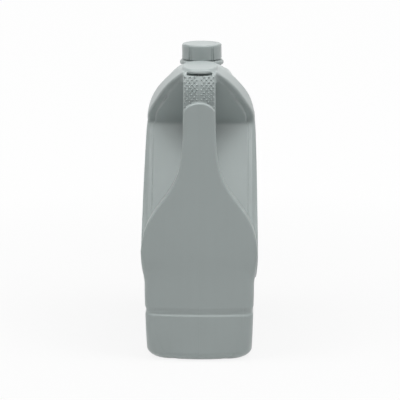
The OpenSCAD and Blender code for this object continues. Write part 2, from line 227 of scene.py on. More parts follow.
class JugForm:
    """The jug's outside as a field in millimetres: negative inside, zero on the surface."""
    # Powers of the curves of the shoulder and the pouring side, and where the first stops short of level
    shoulder_powers, back_powers, curve_end = (1.9, 0.743), (1.7, 0.7), 0.995
    # How far above the ridge the shoulder would close, and how far below its start the pouring side turns in
    shoulder_over, back_drop = 6, 12
    # Half the rise over which the far corners become the round shoulder, and their share of its half width
    shoulder_spread, far_round = 25, 0.9
    # Flat behind the neck and beside it
    neck_flat, neck_side = 8, 10
    # Heights at which the base's taper and its wider corners end
    taper_top, foot_top = 68, 36
    # How far in the crease is drawn, as a share of its softness
    crease_in = 0.35
    # Rise in which the rim forms above the block, and runs of the eave and the roof about the crease
    rim_run, eave_run, roof_run = 30, (-2, 4), (4, 34)
    # Flat of the rim, the least flat, and how much tighter the rim is under the eave
    rim_flat, least_flat, eave_tighter = 1.5, 0.2, 0.4
    # Step behind the opening's wall: its gain at the eave, its loss under the ridge and where that runs
    step_gain, step_loss, loss_start, loss_end = 0.5, 0.8, 10, 8
    # Steepest slope that a distance allows for
    steepest = 2.2
    # Panel: its distance from the shoulder, the rim, the near corner and the far one
    panel_drop, panel_rim, panel_near, panel_far = 3, 2, 4, 6
    # Panel: its edge's run, its foot's slope, how much of a quarter turn its corners follow
    panel_edge, panel_slope, panel_turn = (-0.3, 2.2), 0.4, 0.999
    # Panel: its full rise's height over the block, its share of that at the foot, and the foot's run
    panel_full, foot_share, foot_run = 8, 0.55, (-4, 33)
    # Groove: runs of its lower and upper flank
    groove_low, groove_high = (-5.0, -2.4), (-0.5, 4.8)
    # Body: how slowly the eave's taper runs out, and the straight that a full bow needs
    taper_run, bow_run = 6, 20
    # Raised wall of the opening: its edge, depth and fillet
    wall_edge, wall_deep, wall_fillet = 0.7, 20, 1.0
    # Hollow base: its run behind the base's edge
    push_run = (3, 14)
    # Ridge: its rise over the flat round the neck, its bow, run and edge
    ridge_rise, ridge_bow, ridge_run, ridge_edge = 9.2, 60, (3, 16), 4
    # Handle: its foot below the panel's, the start of its flare, its sink there and its reach past the panels
    bell_foot, bell_start, bell_sink, bell_over = 6, 10, 0.6, 1.1
    # Handle's face below the block's top: how far and how soon it sinks in, and its dive after that
    face_sink, face_run, face_dive = 0.4, 14, 0.002
    # Handle: run in which its edges turn crisp, its back's swell under the ridge and edge, and the lip's lap
    crisp_run, rear_swell, rear_run, rear_edge, lip_lap = (-30, 14), 10, 45, 5, 0.5
    # Pad: its middle behind the grip, half length, lap past the ridge, fullness and depth
    pad_back, pad_half, pad_lap, pad_full, pad_deep = 38, 28.5, 0.7, 2.3, 11
    # Pad: rounds of its upper and lower edge, and its slope to the lip and to the sides
    pad_edge, pad_under, pad_slope, pad_sag = 2.4, 3, 0.05, 0.12
    # Grip: its bow, the arch's width by the grip's, and the drop, slope and scale of the ledge
    grip_bow, arch_wide, ledge_drop, ledge_slope, ledge_scale = 0.5, 1.06, 0.2, 0.7, 0.82
    # Slot under the lip, either side of a web: its middle, half width, depth and half height
    slot_middle, slot_half, slot_deep, slot_rise = 6.6, 6.0, 15, 1.0
    # Fillets of the handle at its foot and above it, the heights between them, and those of pad and grip
    foot_fillet, bell_fillet, fillet_run, pad_fillet, grip_fillet = 0.2, 5.0, (112, 150), 2.5, 0.7
    # Wall over the hollow's top, extra wall near the crease, and extra wall below the flat round the neck
    roof_wall, crease_wall, crease_run, top_wall, top_run = 5, 1.6, (6, 18), 3.2, (-34, -14)
    # Cut for the bore: its room round the bore, and its reach below and above the flat round the neck
    bore_room, bore_below, bore_above = 1.2, 9, 6
    # Pips: their distance from the arch and the lip, and the share of the grip's half width that they take
    pip_low, pip_high, pip_share = 1.6, 4, 0.9
    # Neck: its sink into the flat, its flange, and heights of the ring's stop over the skirt's foot
    neck_sink, flange, stop_low, stop_high, stop_end = 1.2, 3, 0.6, 1.2, 2.6
    # Threads of the neck and the cap: reach from the wall, turns and radius
    neck_thread, cap_thread = (0.35, 1.6, 0.85), (-0.3, 1.8, 0.8)
    # Cap: depth of the dish on its top, and how far in the dish starts and is full
    dish, dish_start, dish_full = 0.25, 4.2, 5.4
    # Ribs: their distance from the foot and the top of the cap
    rib_low, rib_high = 0.3, 1.6
    # Ring: its lower chamfer, the width and fall of its upper one, and its dip there
    ring_chamfer, ring_slope, ring_fall, ring_dip = 0.8, 1.7, 2.0, 0.2
    # Bridges: how far their middle lies over the ring and in from the skirt
    bridge_over, bridge_in = 0.15, 0.6

    def __init__(self, jug, closure):
        for name, value in {**millimetres(jug), **millimetres(closure)}.items():
            setattr(self, name, value)
        self.core_half = self.width / 2 - self.panel_rise
        self.crease_z = self.shoulder_z - self.crease_drop
        self.platform_z = self.ridge_top - self.neck_drop
        self.block_top = (self.crease_z - self.crease_soft
                          - (self.depth / 2 - self.front_lean - self.crease_y) / self.lower_slope)
        self.grip_half = self.grip_width / 2
        self.grip_y = self.grip_set_back - self.depth / 2
        self.flare_wide = self.width / 2 + self.bell_over - self.grip_half
        self.ring_low = self.platform_z + self.seat_rise
        self.ring_high = self.ring_low + self.ring_height
        self.skirt_low = self.ring_high + self.ring_gap
        self.cap_top = self.skirt_low + self.cap_height

    def half(self, z):
        """Half width of the body without its panels."""
        bend, end = self.shoulder_powers
        tall = self.ridge_top + self.shoulder_over - self.shoulder_z
        over = np.clip((z - self.shoulder_z) / tall, 0, self.curve_end)
        taper = self.base_taper * np.clip(1 - z / self.taper_top, 0, 1)
        return self.core_half * (1 - over ** bend) ** end - taper

    def block_front(self, z):
        """Handle side of the block, which leans in towards its top."""
        rise = np.maximum(0, z - self.base_radius) / (self.block_top - self.base_radius)
        return self.front_lean * rise - self.depth / 2

    def front(self, z):
        """Handle side of the body: the block, then the two walls of the finger opening."""
        soft = self.crease_soft / 2
        away = np.hypot(z - self.crease_z, soft) - soft
        slope = np.where(z < self.crease_z, self.lower_slope, self.upper_slope)
        wall = self.crease_in * self.crease_soft - self.crease_y - slope * away
        return np.maximum(wall, self.block_front(z))

    def back(self, z):
        """Pouring side of the body, which curves in to the neck."""
        bend, close = self.back_powers
        low, end = self.shoulder_z - self.back_drop, self.neck_y + self.neck_radius + self.neck_flat
        part = np.clip((z - low) / (self.platform_z - low), 0, 1)
        return end + (self.depth / 2 - end) * (1 - part ** bend) ** close

    def back_half(self, z):
        """Half width of the body at its pouring side."""
        wide = self.half(np.minimum(z + self.shoulder_fall, self.ridge_top))
        return np.maximum(self.neck_radius + self.neck_side, wide)

    def foot(self, z):
        """Radius of the upright corners, wider at the foot."""
        return self.corner + (self.foot_corner - self.corner) * np.clip(1 - z / self.foot_top, 0, 1) ** 2

    def near_corner(self, z):
        """Radius, step back, flat and taper of the near corners: the opening's rim, then the eave."""
        opened = ease(z, self.block_top, self.block_top + self.rim_run)
        high = about(z, self.crease_z, self.eave_run)
        roof = about(z, self.crease_z, self.roof_run)
        loss = ease(z, self.crease_z + self.loss_start, self.platform_z - self.loss_end)
        tighter = self.rim * self.eave_tighter * high
        radius = np.maximum(1, self.foot(z) + (self.rim - self.corner) * opened - tighter)
        step = self.rim_step * (opened + self.step_gain * high) * (1 - self.step_loss * loss)
        flat = self.least_flat + self.rim_flat * opened + (self.eave - self.rim_flat - self.least_flat) * high
        return radius, step, flat, self.eave_taper * roof

    def far_corner(self, z):
        """Radius of the far corners, which become the round shoulder."""
        roof = about(z, self.shoulder_z, (-self.shoulder_spread, self.shoulder_spread))
        low = self.foot(z)
        return low + (self.back_half(z) * self.far_round - low) * roof

    def slant(self, curve, z):
        """How much longer a step along a curve is than the same step straight up, to a limit."""
        return np.minimum(np.hypot(1, curve(z + 0.5) - curve(z - 0.5)), self.steepest)

    def panelled(self, width, y, z):
        """Half width with the raised label panels, which are thickest at their lower end."""
        top, radius = self.shoulder_z - self.panel_drop, self.panel_corner
        into = np.clip(self.panel_low + radius - z, 0, radius * self.panel_turn)
        turn = radius - np.sqrt(radius ** 2 - into ** 2)
        steep = np.hypot(1, into / np.sqrt(radius ** 2 - into ** 2))
        behind = self.front(np.minimum(z, self.crease_z)) + self.rim_step + self.rim + self.panel_rim
        near = np.maximum(behind, self.corner + self.panel_near - self.depth / 2 + turn)
        far = self.back(z) - self.far_corner(z) - self.panel_far - turn
        within = np.minimum(np.minimum(y - near, far - y) / steep, (z - self.panel_low) * self.panel_slope)
        rise = self.panel_rise * np.sqrt(np.clip((top - z) / (top - self.block_top - self.panel_full), 0, 1))
        rise = rise * (self.foot_share + (1 - self.foot_share) * about(z, self.panel_low, self.foot_run))
        proud = np.maximum(self.core_half + rise - width, 0) * (z < top)
        return width + proud * ease(within, *self.panel_edge)

    def groove(self, z):
        """Depth of the groove round the jug, crisp below and soft above."""
        low, high = about(z, self.groove_z, self.groove_low), about(z, self.groove_z, self.groove_high)
        return self.groove_depth * low * (1 - high)

    def block(self, across, y, z):
        """The body with its panels, groove, raised opening wall, hollow base and ridge."""
        half, front, back = self.half(z), self.front(z), self.back(z)
        far_half, far_radius = self.back_half(z), self.far_corner(z)
        radius, step, flat, taper = self.near_corner(z)
        start, run = front + self.crown + step + radius, 1 + self.taper_run * taper
        along = np.clip((y - start - run) / np.maximum(back - far_radius - start - run, 1), 0, 1)
        width = half - taper * (1 - np.clip((y - start) / run, 0, 1)) + (far_half - half) * along
        side = (across - self.panelled(width, y, z)) / self.slant(self.half, z)
        lean = self.slant(self.front, z)
        near = (front + self.crown + step - y) / lean
        straight = np.maximum(far_half - far_radius, 0.1)
        bow = self.crown * np.minimum(1, straight / self.bow_run) * np.minimum(1, across / straight) ** 2
        far = (y - back + bow) / self.slant(self.back, z)
        form = np.maximum(cut(side, near, radius), cut(side, far, far_radius))
        edge = half - taper - radius - flat
        raised = cut(across - edge, (front + self.crown * (across / edge) ** 2 - y) / lean, self.wall_edge)
        form = join(form, np.maximum(raised, y - front - self.wall_deep), self.wall_fillet) + self.groove(z)
        floor = self.push_up * about(-form, self.base_radius, self.push_run)
        form = cut(form, floor - z, self.base_radius)
        top = self.platform_z + self.ridge_rise * ease(-y - across ** 2 / self.ridge_bow, *self.ridge_run)
        return cut(form, z - top, self.ridge_edge)

    def flared(self, z):
        """Half width of the handle's bell-shaped flare."""
        return self.grip_half + self.flare_wide / (1 + np.exp((z - self.flare_z) / self.flare_soft))

    def bell_half(self, z):
        """Half width of the handle, which flares like a bell and runs down into the block's corners."""
        low, high = self.panel_low - self.bell_foot, self.block_top + self.bell_start
        wide = self.flared(high)
        sunk = wide - (wide - self.core_half + self.bell_sink) * (1 - ease(z, low, high))
        return np.where(z > high, self.flared(np.maximum(z, high)), sunk)

    def bell_face(self, z):
        """Face of the handle: nearly upright up to the tongue's top, then turning back under the ridge."""
        tall = self.tongue_top - self.block_top
        part = np.clip((z - self.block_top) / tall, 0, 1)
        start = self.front_lean - self.depth / 2
        lean = tall * self.front_lean / (self.block_top - self.base_radius)
        upright = (start + (self.grip_y - start) * ease(z, self.block_top, self.tongue_top)
                   + lean * part * (1 - part) ** 2)
        over = np.clip(z - self.tongue_top, 0, self.brow_radius - 1)
        brow = self.grip_y + self.brow_radius - np.sqrt(self.brow_radius ** 2 - over ** 2)
        below = self.block_top - z
        sunk = self.face_sink * ease(below, 0, self.face_run) + self.face_dive * below ** 2
        low = self.block_front(z) + sunk
        return np.where(below > 0, low, np.where(z < self.tongue_top, upright, brow))

    def bell(self, across, y, z):
        """The handle from inside the block up to the ridge."""
        half = self.bell_half(z)
        radius = self.corner + (self.handle_edge - self.corner) * about(z, self.block_top, self.crisp_run)
        edge = half - radius - self.least_flat
        sag = self.crown * (half / self.core_half) ** 2 * np.minimum(1, across / edge) ** 2
        swell = self.rear_swell * ease(z, self.ridge_top - self.rear_run, self.ridge_top) ** 2
        rear = self.grip_y + self.handle_thick + swell
        side = (across - half) / self.slant(self.bell_half, z)
        near = (self.bell_face(z) + sag - y) / self.slant(self.bell_face, z)
        form = np.maximum(cut(side, near, radius), cut(side, y - rear, self.rear_edge))
        low, high = self.panel_low - self.bell_foot, self.ridge_top - self.lip_height - self.lip_lap
        return np.maximum(form, np.maximum(low - z, z - high))

    def pad(self, across, y, z):
        """The rounded pad on the ridge, with its lip over the grip."""
        middle, deep, wide = self.grip_y + self.pad_back, self.pad_half, self.ridge_half + self.pad_lap
        u, v, full = across / wide, np.abs(y - middle) / deep, self.pad_full
        plan = np.maximum(u ** full + v ** full, TINY) ** (1 / full)
        steep = np.hypot((u / plan) ** (full - 1) / wide, (v / plan) ** (full - 1) / deep)
        top = self.ridge_top - self.pad_slope * np.maximum(middle - y, 0) - self.pad_sag * u ** 2
        form = cut((plan - 1) / steep, z - top, self.pad_edge)
        return cut(form, self.ridge_top - self.pad_deep - z, self.pad_under)

    def arch(self, across):
        """Height of the arched ledge at the foot of the grip."""
        level = np.clip(1 - (across / (self.grip_half * self.arch_wide)) ** 2, 0, 1)
        return self.tongue_top - self.tongue_arch + self.tongue_arch * np.sqrt(level)

    def grip(self, across, y, z):
        """What is taken off the handle's face between the arch and the lip, and the slot under the lip."""
        face = self.bell_face(z) + self.grip_depth + self.grip_bow * (across / self.grip_half) ** 2
        under = self.ridge_top - self.lip_height
        slope = self.ledge_slope * np.clip(y - face, -self.grip_depth, 0)
        ledge = self.arch(across) - self.ledge_drop + slope
        hollow = np.maximum(y - face, np.maximum((ledge - z) * self.ledge_scale, z - under))
        slot = np.maximum(np.abs(across - self.slot_middle) - self.slot_half,
                          np.abs(z - under + self.slot_rise) - self.slot_rise)
        return np.minimum(hollow, np.maximum(slot, y - self.grip_y - self.slot_deep))

    def body(self, across, y, z):
        """The body and the handle, flowing into each other."""
        fillet = self.foot_fillet + (self.bell_fillet - self.foot_fillet) * ease(z, *self.fillet_run)
        return join(self.block(across, y, z), self.bell(across, y, z), fillet)

    def outside(self, x, y, z):
        """The whole outside."""
        across = np.abs(x)
        solid = join(self.body(across, y, z), self.pad(across, y, z), self.pad_fillet)
        return -join(-solid, self.grip(across, y, z), self.grip_fillet)

    def inside(self, x, y, z):
        """The hollow that the wall leaves, thicker at the crease, under the ridge and by the neck."""
        across = np.abs(x)
        kept = np.maximum(self.body(across, y, z), z - self.ridge_top + self.roof_wall)
        crease = 1 - ease(np.abs(z - self.crease_z), *self.crease_run)
        top = about(z, self.platform_z, self.top_run)
        thick = self.wall + self.crease_wall * crease + self.top_wall * top
        return np.maximum(kept, -self.grip(across, y, z)) + thick


def spaced(*runs):
    """Grid lines over runs of (from, to, spacing)."""
    lines = [np.linspace(low, high, max(2, round((high - low) / step) + 1))[:-1] for low, high, step in runs]
    return np.concatenate(lines + [[runs[-1][1]]])


def gradient(field, points):
    """Direction in which a field grows at some points."""
    found = np.empty_like(points)
    for axis in range(3):
        step = np.zeros(3)
        step[axis] = PROBE
        found[:, axis] = field(*(points + step).T) - field(*(points - step).T)
    return found / (2 * PROBE)


def unit(vectors):
    """Vectors made one long."""
    return vectors / np.maximum(np.linalg.norm(vectors, axis=1), TINY)[:, None]


def settle(field, points, rounds=2):
    """Moves points on to a field's surface."""
    for _ in range(rounds):
        rise = gradient(field, points)
        reach = np.maximum((rise ** 2).sum(1), 0.1)
        move = field(*points.T) / reach
        points = points - np.clip(move, -LONGEST_SETTLE, LONGEST_SETTLE)[:, None] * rise
    return points


def sharpen(field, points, quads):
    """Draws points towards the planes of the faces around them, so that edges run true."""
    middles = settle(field, points[quads].mean(1))
    normals = unit(gradient(field, middles))
    planes = normals[:, :, None] * normals[:, None, :]
    offsets = normals * (normals * middles).sum(1)[:, None]
    total = len(points)
    matrix, target = np.zeros((total, 3, 3)), np.zeros((total, 3))
    centre, faces = np.zeros((total, 3)), np.zeros(total)
    for corner in range(4):
        for kept, added in ((matrix, planes), (target, offsets), (centre, middles), (faces, 1)):
            np.add.at(kept, quads[:, corner], added)
    centre /= np.maximum(faces, 1)[:, None]
    matrix += PULL * np.eye(3)
    target += PULL * centre
    move = np.linalg.solve(matrix, target[:, :, None])[:, :, 0] - points
    part = np.minimum(1, LONGEST_SHARPEN / np.maximum(np.linalg.norm(move, axis=1), TINY))
    return settle(field, points + move * part[:, None], 1)


def unfold(field, points, raw, quads):
    """Puts points back where the grid found them if a face has folded over."""
    for _ in range(3):
        a, b, c, d = (points[quads[:, corner]] for corner in range(4))
        facing = np.cross(c - a, d - b)
        rise = gradient(field, points[quads].mean(1))
        level = np.linalg.norm(facing, axis=1) * np.linalg.norm(rise, axis=1)
        back = quads[(facing * rise).sum(1) < AGREED * level].ravel()
        points[back] = raw[back]
    return points


def surface(field, axes, rounds):
    """Points and quads of a field's surface on a grid."""
    grid = field(axes[0][:, None, None], axes[1][None, :, None], axes[2][None, None, :])
    grid = np.where(grid == 0, TINY, grid)
    inside = grid < 0
    corners = [(a, b, c) for a in (0, 1) for b in (0, 1) for c in (0, 1)]
    size = [n - 1 for n in grid.shape]
    full = sum(inside[a:a + size[0], b:b + size[1], c:c + size[2]].astype(np.int8) for a, b, c in corners)
    cells = np.argwhere((full > 0) & (full < 8))
    names = np.full(size, -1)
    names[tuple(cells.T)] = np.arange(len(cells))
    total, crossings = np.zeros((len(cells), 3)), np.zeros(len(cells))
    for axis in range(3):
        for first in corners:
            if first[axis]:
                continue
            low = cells + np.array(first)
            high = low.copy()
            high[:, axis] += 1
            a, b = grid[tuple(low.T)], grid[tuple(high.T)]
            found = (a < 0) != (b < 0)
            part = np.where(found, a / np.where(a == b, 1, a - b), 0)[:, None]
            start = np.stack([axes[i][low[:, i]] for i in range(3)], 1)
            end = np.stack([axes[i][high[:, i]] for i in range(3)], 1)
            total += np.where(found[:, None], start + (end - start) * part, 0)
            crossings += found
    points = total / crossings[:, None]
    quads = []
    for axis in range(3):
        u, v = (axis + 1) % 3, (axis + 2) % 3
        change = np.argwhere(np.diff(inside.astype(np.int8), axis=axis) != 0)
        ring = []
        for du, dv in ((-1, -1), (0, -1), (0, 0), (-1, 0)):
            cell = change.copy()
            cell[:, u] += du
            cell[:, v] += dv
            ring.append(names[tuple(cell.T)])
        ring = np.stack(ring, 1)
        outward = inside[tuple(change.T)]
        quads.append(np.where(outward[:, None], ring, ring[:, ::-1]))
    quads = np.concatenate(quads)
    raw, points = points, settle(field, points, 3)
    for _ in range(rounds):
        points = sharpen(field, points, quads)
    return unfold(field, points, raw, quads), quads


def mesh_object(name, points, faces, material=None):
    """A smooth mesh object from points in millimetres."""
    mesh = bpy.data.meshes.new(name)
    mesh.from_pydata((np.asarray(points) * MM).tolist(), [], [list(map(int, f)) for f in faces])
    mesh.update()
    mesh.shade_smooth()
    if material:
        mesh.materials.append(material)
    thing = bpy.data.objects.new(name, mesh)
    bpy.context.scene.collection.objects.link(thing)
    return thing


def softened(corners, steps=5):
    """A profile whose corners (radius, height, rounding) are rounded."""
    points = []
    for i, (r, z, rounding) in enumerate(corners):
        here = np.array([r, z], float)
        if rounding <= 0:
            points.append(here)
            continue
        ends = []
        for other in (corners[i - 1], corners[(i + 1) % len(corners)]):
            way = np.array(other[:2], float) - here
            ends.append(here + way * min(0.5, rounding / np.linalg.norm(way)))
        for t in np.linspace(0, 1, steps + 1):
            points.append(ends[0] * (1 - t) ** 2 + here * 2 * t * (1 - t) + ends[1] * t * t)
    return points


def lathe(name, profile, centre_y, segments, material):
    """A closed profile, listed upwards on its outer side, turned about an upright axis."""
    points, rings, faces = [], [], []
    angles = np.arange(segments) * 2 * math.pi / segments
    for r, z in profile:
        start = len(points)
        if r < TINY:
            points.append((0, centre_y, z))
            rings.append([start] * segments)
        else:
            points += [(r * math.cos(a), centre_y + r * math.sin(a), z) for a in angles]
            rings.append(list(range(start, start + segments)))
    for low, high in zip(rings, rings[1:] + rings[:1]):
        for i in range(segments):
            j = (i + 1) % segments
            ring = list(dict.fromkeys((low[i], low[j], high[j], high[i])))
            if len(ring) > 2:
                faces.append(ring)
    thing = mesh_object(name, points, faces, material)
    thing.data.set_sharp_from_angle(angle=math.radians(38))
    return thing


def node_maths(operation, swapped=False):
    """An operator between sockets or numbers that adds a Math node."""
    def method(self, other):
        return self.sheet.maths(operation, *((other, self) if swapped else (self, other)))
    return method


class Wire:
    """A node's socket that can stand in a Python expression."""
    __add__, __radd__ = node_maths("ADD"), node_maths("ADD", True)
    __sub__, __rsub__ = node_maths("SUBTRACT"), node_maths("SUBTRACT", True)
    __mul__, __rmul__ = node_maths("MULTIPLY"), node_maths("MULTIPLY", True)
    __truediv__, __rtruediv__ = node_maths("DIVIDE"), node_maths("DIVIDE", True)
    __pow__, __rpow__ = node_maths("POWER"), node_maths("POWER", True)
    __mod__, __rmod__ = node_maths("FLOORED_MODULO"), node_maths("FLOORED_MODULO", True)
    __lt__, __gt__ = node_maths("LESS_THAN"), node_maths("GREATER_THAN")

    def __init__(self, sheet, socket):
        self.sheet, self.socket = sheet, socket

    def __abs__(self):
        return self.sheet.maths("ABSOLUTE", self)


class Sheet:
    """A node tree whose nodes all come from one method."""

    def __init__(self, tree):
        self.tree = tree

    def feed(self, node, inputs):
        """Sets or links the sockets of a node."""
        for key, value in inputs.items():
            if isinstance(value, Wire):
                self.tree.links.new(value.socket, node.inputs[key])
            else:
                node.inputs[key].default_value = value

    def add(self, kind, settings=None, inputs=None, output=0):
        """Adds a node: its settings first, then the values or links of its sockets."""
        node = self.tree.nodes.new(kind)
        for key, value in (settings or {}).items():
            setattr(node, key, value)
        self.feed(node, inputs or {})
        return Wire(self, node.outputs[output]) if node.outputs else node

    def maths(self, operation, first, second=0.0):
        """A Math node's result."""
        return self.add("ShaderNodeMath", {"operation": operation}, {0: first, 1: second})

    def vectors(self, operation, first, second=(0.0, 0.0, 0.0), output=0):
        """A Vector Math node's result."""
        return self.add("ShaderNodeVectorMath", {"operation": operation}, {0: first, 1: second}, output)

    def axis(self, vector, letter):
        """One of a vector's three values."""
        return self.add("ShaderNodeSeparateXYZ", None, {0: vector}, letter)

    def ramp(self, value, start, end, low, high, kind="LINEAR"):
        """A value's way from a start to an end, as a way from low to high."""
        return self.add("ShaderNodeMapRange", {"interpolation_type": kind},
                        {0: value, 1: start, 2: end, 3: low, 4: high})

    def blend(self, amount, first, second):
        """A mix of two colours."""
        return self.add("ShaderNodeMix", {"data_type": "RGBA"}, {0: amount, 6: first, 7: second}, 2)


class Growth(Sheet):
    """A Geometry Nodes tree with named inputs, one of them the piece's material."""

    def __init__(self, name, floats, **others):
        super().__init__(bpy.data.node_groups.new(name, "GeometryNodeTree"))
        face = self.tree.interface
        face.new_socket("Geometry", in_out="OUTPUT", socket_type="NodeSocketGeometry")
        for title, kind in {**others, **dict.fromkeys(floats, "Float"), "Material": "Material"}.items():
            face.new_socket(title, in_out="INPUT", socket_type="NodeSocket" + kind)
        self.entry = self.tree.nodes.new("NodeGroupInput")

    def __getitem__(self, title):
        return Wire(self, self.entry.outputs[title])

    def vector(self, x, y, z):
        """A vector from three values."""
        return self.add("ShaderNodeCombineXYZ", None, {0: x, 1: y, 2: z})

    def moved(self, geometry, place):
        """Geometry with its points set in place."""
        return self.add("GeometryNodeSetPosition", None, {"Geometry": geometry, "Position": place})

    def rod(self, path, thickness, sides):
        """A closed round rod along a path, in the radius of the input named Round times a thickness."""
        path = self.add("GeometryNodeSetCurveRadius", None, {"Curve": path, "Radius": thickness})
        ring = self.add("GeometryNodeCurvePrimitiveCircle", None,
                        {"Resolution": sides, "Radius": self["Round"]})
        return self.add("GeometryNodeCurveToMesh", None, {
            "Curve": path, "Profile Curve": ring, "Fill Caps": True})

    def close(self, geometry):
        """Ends the tree with real geometry in the piece's material."""
        real = self.add("GeometryNodeRealizeInstances", None, {"Geometry": geometry})
        done = self.add("GeometryNodeSetMaterial", None, {"Geometry": real, "Material": self["Material"]})
        self.add("NodeGroupOutput", None, {"Geometry": done})

    def close_repeated(self, points, shape, turn, scale=(1.0, 1.0, 1.0)):
        """Ends the tree with a copy of a shape on each point."""
        self.close(self.add("GeometryNodeInstanceOnPoints", None, {
            "Points": points, "Instance": shape, "Rotation": turn, "Scale": scale}))

    def grow(self, name, values):
        """The tree's result for some values, as a plain mesh object."""
        thing = bpy.data.objects.new(name, bpy.data.meshes.new(name))
        bpy.context.scene.collection.objects.link(thing)
        modifier = thing.modifiers.new("growth", "NODES")
        modifier.node_group = self.tree
        for socket in self.tree.interface.items_tree:
            if socket.in_out == "INPUT":
                modifier[socket.identifier] = values[socket.name]
        graph = bpy.context.evaluated_depsgraph_get()
        mesh = bpy.data.meshes.new_from_object(thing.evaluated_get(graph))
        thing.modifiers.remove(modifier)
        thing.data = mesh
        mesh.name = name
        if not mesh.polygons:
            raise RuntimeError(f"{name} came out empty")
        mesh.shade_smooth()
        return thing


def new_finish(name):
    """A new material, its sheet and its main shader."""
    material = bpy.data.materials.new(name)
    material.use_nodes = True
    return material, Sheet(material.node_tree), material.node_tree.nodes["Principled BSDF"]


def toned(colour, amount):
    """A colour made darker or lighter."""
    return [min(1.0, part * amount) for part in colour[:3]] + [1.0]


def plastic(name, colour, roughness, seam):
    """Satin moulded plastic: cloudy grey, faint flow streaks, fine grain and, on the jug, a parting line."""
    material, sheet, shader = new_finish(name)
    place = sheet.add("ShaderNodeTexCoord", output="Object")
    streaks = sheet.vectors("MULTIPLY", place, FLOW_SCALES)
    cloud = sheet.add("ShaderNodeTexNoise", None, {"Vector": place, "Scale": CLOUD_SCALE, "Detail": 3.0})
    flow = sheet.add("ShaderNodeTexNoise", None, {"Vector": streaks, "Scale": 1.0, "Detail": 2.0})
    grain = sheet.add("ShaderNodeTexNoise", None, {"Vector": place, "Scale": GRAIN_SCALE, "Detail": 2.0})
    shade = 0.5 + (cloud - 0.5) * 0.25 + (flow - 0.5) * 0.25
    height = grain * 0.35 + flow * 0.12
    if seam:
        height = height + sheet.ramp(abs(sheet.axis(place, "X")), *SEAM_RUN, 1.0, 0.0, "SMOOTHSTEP") * 0.9
    sheet.feed(shader, {
        "Base Color": sheet.blend(shade, toned(colour, 0.93), toned(colour, 1.07)),
        "Roughness": roughness + (cloud - 0.5) * 0.06 + (grain - 0.5) * 0.08,
        "Normal": sheet.add("ShaderNodeBump", None, {"Strength": 0.35, "Distance": 0.0002, "Height": height}),
        "IOR": PLASTIC_IOR})
    return material


def foam(name, colour):
    """Matt foamed sheet with fine cells."""
    material, sheet, shader = new_finish(name)
    place = sheet.add("ShaderNodeTexCoord", output="Object")
    cells = sheet.add("ShaderNodeTexVoronoi", None, {"Vector": place, "Scale": CELL_SCALE})
    sheet.feed(shader, {
        "Base Color": sheet.blend(cells, toned(colour, 0.9), toned(colour, 1.0)),
        "Roughness": 0.75,
        "Normal": sheet.add("ShaderNodeBump", None, {"Strength": 0.3, "Distance": 0.0001, "Height": cells})})
    return material


def finish_named(context, name):
    """One of the part's three finishes, made when first asked for, beside the CAD material of that name."""
    finish = name + "_finish"
    found = bpy.data.materials.get(finish)
    if found:
        return found
    colours = context.scene.jug_colours
    if name == "jug_plastic":
        return plastic(finish, colours.jug_grey, colours.jug_roughness, True)
    if name == "cap_plastic":
        return plastic(finish, colours.cap_grey, colours.cap_roughness, False)
    return foam(finish, colours.liner_white)


def put(piece, body, slot, *nodes):
    """Makes a piece ride on a body, in place of CAD nodes. The slot it is given is not used."""
    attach(piece, body)
    if nodes:
        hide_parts(*nodes)


def jug_form(context):
    """The jug's form for the sizes in the panel."""
    return JugForm(context.scene.jug_sizes, context.scene.closure_sizes)


class JUG_OT_shell(bpy.types.Operator):
    """Moulds the jug as a thin shell with its handle, panels, groove and ridge"""
    bl_idname = "jug.shell"
    bl_label = "Jug shell"

    def execute(self, context):
        form, grey = jug_form(context), finish_named(context, "jug_plastic")
        right = spaced(*SHELL_X)
        fine = (np.concatenate([-right[:0:-1], right]), spaced(*SHELL_Y), spaced(*SHELL_Z))
        shell = mesh_object("jug_shell", *surface(form.outside, fine, rounds=3), grey)
        coarse = [spaced(run) for run in HOLLOW_RUNS]
        hollow = mesh_object("hollow", *surface(form.inside, coarse, rounds=0))
        wide = form.bore_radius + form.bore_room
        low, high = form.platform_z - form.bore_below, form.platform_z + form.bore_above
        bore = lathe("bore", [(0, low), (wide, low), (wide, high), (0, high)], form.neck_y, 64, None)
        for tool in (hollow, bore):
            modifier = shell.modifiers.new(tool.name, "BOOLEAN")
            modifier.operation, modifier.solver, modifier.object = "DIFFERENCE", "MANIFOLD", tool
        graph = context.evaluated_depsgraph_get()
        mesh = bpy.data.meshes.new_from_object(shell.evaluated_get(graph))
        shell.modifiers.clear()
        shell.data = mesh
        for tool in (hollow, bore):
            bpy.data.objects.remove(tool)
        if not mesh.polygons:
            raise RuntimeError("the jug's shell came out empty")
        points = np.empty(len(mesh.vertices) * 3)
        mesh.vertices.foreach_get("co", points)
        points = points.reshape(-1, 3) / MM
        normals = unit(gradient(form.outside, points))
        normals[np.abs(form.outside(*points.T)) > 0.3] = 0
        mesh.shade_smooth()
        mesh.normals_split_custom_set_from_vertices(normals)
        put(shell, "jug", "jug_plastic", "jug_body")
        return {"FINISHED"}


